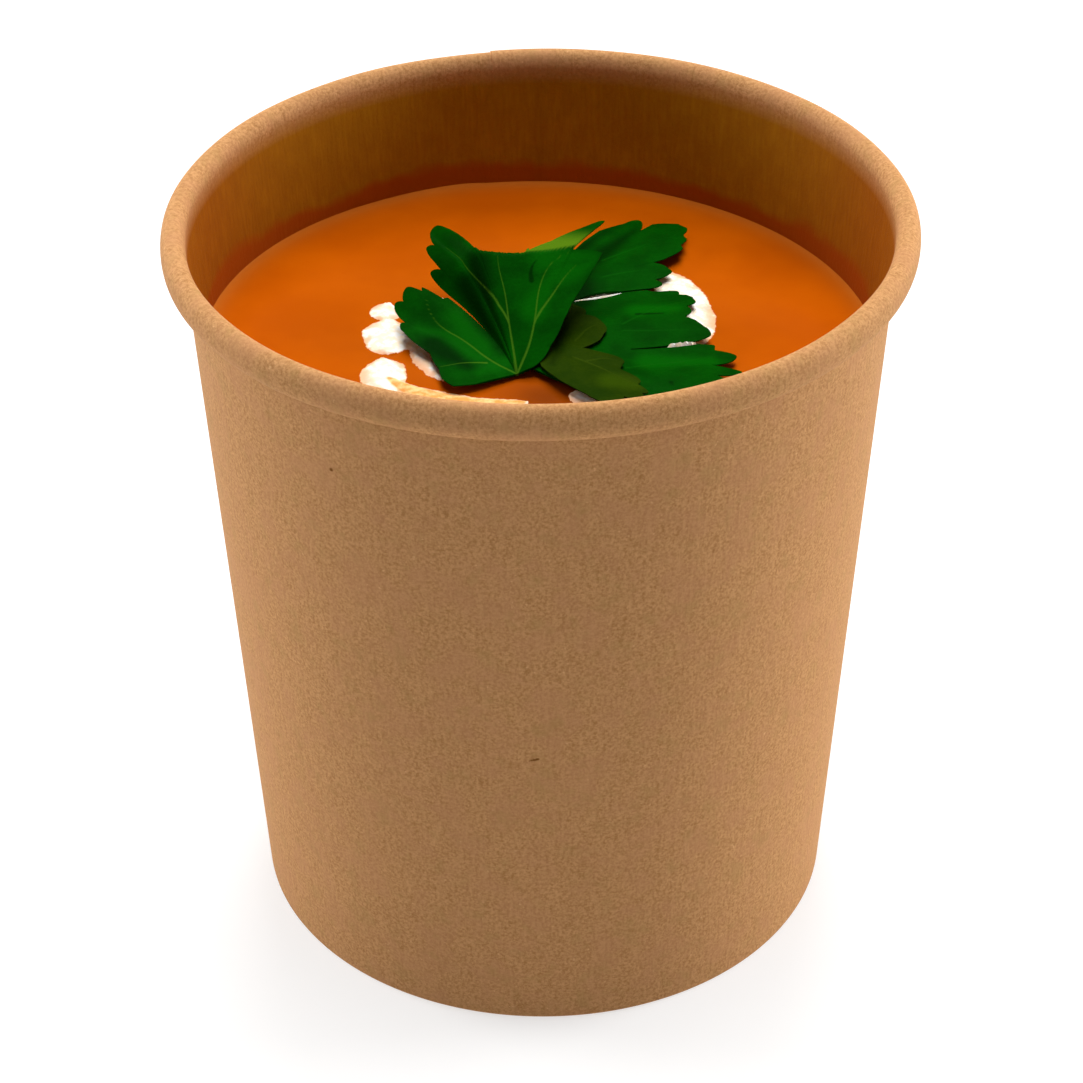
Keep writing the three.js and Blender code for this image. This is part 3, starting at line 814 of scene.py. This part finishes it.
def leaf_normal(leaf, azimuth, distance):
    near, step = np.maximum(distance, 1), 0.2
    out = leaf_point(leaf, azimuth, near + step) - leaf_point(leaf, azimuth, near - step)
    around = leaf_point(leaf, azimuth + step, near) - leaf_point(leaf, azimuth - step, near)
    normal = np.cross(out, around)
    return normal / np.linalg.norm(normal, axis=-1)[..., None]


def leaf_outline(leaf):
    """Azimuth and reach all the way round: straight between corners, rounded towards a tooth's tip."""
    fine, least = 0.35, 8
    outline = []
    corners = [(*corner, 0)[:3] for corner in leaf["outline"]]
    slits = [slit[0] for slit in leaf["slits"]]
    for (azimuth, reach, tip), (after, next_reach, next_tip) in zip(corners, corners[1:]):
        across_slit = any(azimuth < slit < after for slit in slits)
        steps = 1 if across_slit else max(least, math.ceil((after - azimuth) / fine))
        u = np.arange(steps) / steps
        rounded = 1 - cosine(90 * u) ** TOOTH_ROUND if tip else sine(90 * u) ** TOOTH_ROUND
        share = u if tip == next_tip else rounded
        turned = azimuth + (after - azimuth) * u
        outline.append(np.stack([turned, reach + (next_reach - reach) * share], -1))
    outline.append([corners[-1][:2]])
    return np.concatenate(outline)


def inner_reach(leaf, azimuth, reach):
    """Distance of the grid's middle ring, which runs through the floors of the slits."""
    if not leaf["slits"]:
        return reach / 2
    floors = np.array([slit[:2] for slit in leaf["slits"]])
    return np.minimum(np.interp(azimuth, floors[:, 0], floors[:, 1]), 0.8 * reach)


def open_slit(slit, outline, azimuth, distance):
    """Azimuths moved apart round a slit that closes towards its floor, and the column it lies in."""
    at, floor_distance, start, end, opening = slit
    column = np.searchsorted(outline[:, 0], at) - 1
    gap = (outline[column + 1, 0] - outline[column, 0]) / 2
    lens = opening * np.sin(np.pi * np.clip((distance - start) / (end - start), 0, 1))
    closing = 0.7 * gap * np.clip((end - distance) / (end - floor_distance), 0, 1)
    off = azimuth - at
    near = np.clip(1 - (np.abs(off) - gap) / 4, 0, 1)
    return azimuth + np.sign(off) * (lens - closing) * near, column


def leaf_grid(leaf, rings):
    """Azimuths and distances of the leaf's mesh, and which of its quads are kept between them."""
    outline = leaf_outline(leaf)
    azimuth, reach = outline.T
    middle = inner_reach(leaf, azimuth, reach)
    half = rings // 2
    share = np.linspace(0, 1, half + 1)
    inner = middle[:, None] * share[None, :-1]
    outer = middle[:, None] + (reach - middle)[:, None] * share[None, :]
    distance = np.concatenate([inner, outer], axis=1)
    azimuth = np.repeat(azimuth[:, None], distance.shape[1], axis=1)
    kept = np.ones((azimuth.shape[0] - 1, azimuth.shape[1] - 1), dtype=bool)
    for slit in leaf["slits"]:
        azimuth, column = open_slit(slit, outline, azimuth, distance)
        kept[column, half:] = False
    azimuth[:, 0] = leaf["veins"][0][0]
    return azimuth, distance, kept


def soft_line(line):
    """A line with its corners cut, so that it bends smoothly."""
    line = np.array(line, dtype=float)
    for _ in range(2):
        first, second = line[:-1] * 0.75 + line[1:] * 0.25, line[:-1] * 0.25 + line[1:] * 0.75
        cut = np.stack([first, second], 1).reshape(-1, 2)
        line = np.concatenate([line[:1], cut[1:-1], line[-1:]])
    return line


def near_lines(leaf, points, lines, wide):
    """How close points of the leaf lie to lines on it: 1 on a line, 0 a little beside it."""
    best = np.zeros(points.shape[:2])
    for line in lines:
        bent = soft_line(line)
        path = leaf_point(leaf, bent[:, 0], bent[:, 1])
        for i, (start, end) in enumerate(zip(path[:-1], path[1:])):
            along = end - start
            share = np.clip(((points - start) @ along) / (along @ along), 0, 1)
            off = np.linalg.norm(points - start - share[..., None] * along, axis=-1)
            taper = 1 - 0.55 * (i + share) / len(path)
            best = np.maximum(best, taper * np.clip(1 - off / (2 * wide * taper), 0, 1))
    return best


def leaf_material(name, dark, light, rib):
    """Green from dark to light by patches, with painted highlights and painted shade along the leaf's
    lines, painted shade in its creases, a paler part past the crest and lighter ribs.
    """
    brighter = tuple(1.6 * number for number in light)
    deepest = tuple(0.42 * number for number in dark)
    shader = Shader(name)
    cells = shader.noise(0.45, detail=2)
    cloud = shader.noise(4, detail=3)
    body = shader.mix(shader.ramp(cloud, 0.3, 0.7), dark, light)
    body = shader.mix(shader.ramp(cells, 0.3, 0.75, 0, 0.35), body, dark)
    # Painted highlights along the light lines, painted shade along the shade lines and in the creases
    body = shader.mix(shader.ramp(shader.value("light"), 0, 0.8, 0, 0.7), body, brighter)
    body = shader.mix(shader.ramp(shader.value("shade"), 0, 0.8, 0, 0.9), body, deepest)
    body = shader.mix(shader.math("MULTIPLY", shader.value("pale"), 0.9), body, LEAF_PALE)
    body = shader.mix(shader.ramp(shader.value("crease"), 0.2, 0.7, 0, 0.8), body, deepest)
    veined = shader.mix(shader.ramp(shader.value("rib"), 0.1, 0.8, 0, 0.52), body, rib)
    rough = shader.ramp(cells, 0.2, 0.8, 0.42, 0.56)
    normal = shader.bump(cells, 0.04)
    sheen = {"Specular_IOR_Level": 0.01, "Specular_Tint": (0.05, 1, 0.04, 1)}
    return shader.finish(veined, rough, normal, **sheen)


def leaf_faces(kept, count):
    """Faces of both sides of a leaf, and the walls between them along every open edge."""
    size = (kept.shape[0] + 1) * count
    i, j = np.nonzero(kept)
    a, b = i * count + j, (i + 1) * count + j
    upper = np.stack([a, a + 1, b + 1, b], -1)
    lower = upper[:, ::-1] + size
    edges = np.concatenate([upper[:, [k, (k + 1) % 4]] for k in range(4)])
    key = edges[:, 0] * size + edges[:, 1]
    back = edges[:, 1] * size + edges[:, 0]
    at_base = (edges % count == 0).all(axis=1)
    open_edges = edges[~np.isin(key, back) & ~at_base]
    first, second = open_edges.T
    walls = np.stack([second, first, first + size, second + size], -1)
    return np.concatenate([upper, lower, walls])


def pale_share(shape, azimuth, distance):
    """Paler past the crest, only near its middle."""
    crest = np.minimum(crest_distance(shape, azimuth), 100)
    past = smooth(distance, crest, crest + 0.4)
    return past * smooth(azimuth, 92, 89) * smooth(distance, 23.5, 18.5)


def weld(mesh):
    """Joins the points that meet at the leaf's base."""
    work = bmesh.new()
    work.from_mesh(mesh)
    bmesh.ops.remove_doubles(work, verts=work.verts, dist=1e-7)
    bmesh.ops.dissolve_degenerate(work, edges=work.edges, dist=1e-8)
    work.to_mesh(mesh)
    work.free()


def leaf(name, node, slot, shape, tones):
    azimuth, distance, kept = leaf_grid(shape, rings=60)
    middle = leaf_point(shape, azimuth, distance)
    normal = leaf_normal(shape, azimuth, distance)
    # Attributes for the ribs, for painted shade in creases and shades, and for painted highlights
    lines = [near_lines(shape, middle, shape[key], wide) for key, wide in LINE_WIDTHS.items()]
    shares = dict(zip(("rib", "crease", "shade", "light"), lines))
    shares["pale"] = pale_share(shape, azimuth, distance)
    thin = 1 - 0.6 * (distance / distance[:, -1:]) ** 6
    half = LEAF_THICKNESS / 2 * thin[..., None]
    rib = shares["rib"][..., None]
    points = np.stack([middle + normal * (half - 0.04 * rib), middle - normal * (half + 0.06 * rib)])
    faces = leaf_faces(kept, distance.shape[1])
    values = {key: np.tile(share.ravel(), 2) for key, share in shares.items()}
    material = leaf_material(slot, **tones)
    piece = make_piece(name, points, faces, material, node, values, sharp=65)
    weld(piece.data)


def leaves():
    leaf("parsley_broad", "leaf_broad", "leaf_deep", BROAD_LEAF, DEEP)
    leaf("parsley_olive", "leaf_olive", "leaf_olive", OLIVE_LEAF, OLIVE)
    leaf("parsley_folded", "leaf_folded", "leaf_bright", FOLDED_LEAF, BRIGHT)


# Stage, light and camera, in metres

FLOOR_REACH = 6
FLOOR_GLOW = 0.63
WORLD_LIGHT = 0.06
LIGHT_TARGET = (0, 0, 0.06)

# Each lamp's name, place, size and power in watts
LAMPS = [
    ("overhead", (0.03, 0.02, 1.15), 0.6, 9.8),
    ("behind", (0.03, 0.6, 1.0), 0.5, 7),
    ("front", (0, -0.75, 0.85), 0.5, 0.3),
    ("left", (-0.98, 0.38, 0.38), 0.6, 10.5),
    ("right", (1.0, 0.3, 0.32), 0.6, 12),
]


def floor():
    mesh = bpy.data.meshes.new("floor")
    corners = [(x * FLOOR_REACH, y * FLOOR_REACH, 0) for x, y in ((-1, -1), (1, -1), (1, 1), (-1, 1))]
    mesh.from_pydata(corners, [], [(0, 1, 2, 3)])
    shader = Shader("pale_floor")
    soft = shader.noise(80, detail=2)
    tone = shader.mix(soft, (0.4, 0.4, 0.4), (0.42, 0.42, 0.42))
    shader.feed(shader.surface.inputs["Emission Color"], (1, 1, 1, 1))
    material = shader.finish(tone, 0.9, Emission_Strength=FLOOR_GLOW, Specular_IOR_Level=0.0)
    mesh.materials.append(material)
    plane = bpy.data.objects.new("floor", mesh)
    bpy.context.scene.collection.objects.link(plane)


def soft_light(name, place, size, power):
    data = bpy.data.lights.new(name, "AREA")
    data.shape = "DISK"
    data.size = size
    data.energy = power
    lamp = bpy.data.objects.new(name, data)
    lamp.location = place
    direction = Vector(LIGHT_TARGET) - Vector(place)
    lamp.rotation_euler = direction.to_track_quat("-Z", "Y").to_euler()
    bpy.context.scene.collection.objects.link(lamp)


def light():
    world = bpy.data.worlds.new("studio")
    bpy.context.scene.world = world
    world.use_nodes = True
    sky = world.node_tree.nodes["Background"]
    sky.inputs["Color"].default_value = (1, 1, 1, 1)
    sky.inputs["Strength"].default_value = WORLD_LIGHT
    for name, place, size, power in LAMPS:
        soft_light(name, place, size, power)


def camera():
    rise = math.radians(CAMERA_RISE)
    target = Vector(CAMERA_TARGET)
    forward = Vector((0, math.cos(rise), -math.sin(rise)))
    level = Vector((1, 0, 0))
    upright = level.cross(forward)
    turn = math.radians(CAMERA_ROLL)
    right = math.cos(turn) * level + math.sin(turn) * upright
    up = math.cos(turn) * upright - math.sin(turn) * level
    place = (target - forward * CAMERA_DISTANCE) * MM
    data = bpy.data.cameras.new("photo_view")
    data.sensor_width = SENSOR
    data.lens = FOCAL_PIXELS / PHOTO_WIDTH * SENSOR
    data.clip_start = 0.01
    made = bpy.data.objects.new("photo_view", data)
    axes = Matrix((right, up, -forward)).transposed().to_4x4()
    made.matrix_world = Matrix.Translation(place) @ axes
    bpy.context.scene.collection.objects.link(made)
    bpy.context.scene.camera = made


cup_wall()
cup_base()
soup()
leaves()
floor()
light()
camera()
bpy.context.scene.view_settings.view_transform = "Standard"
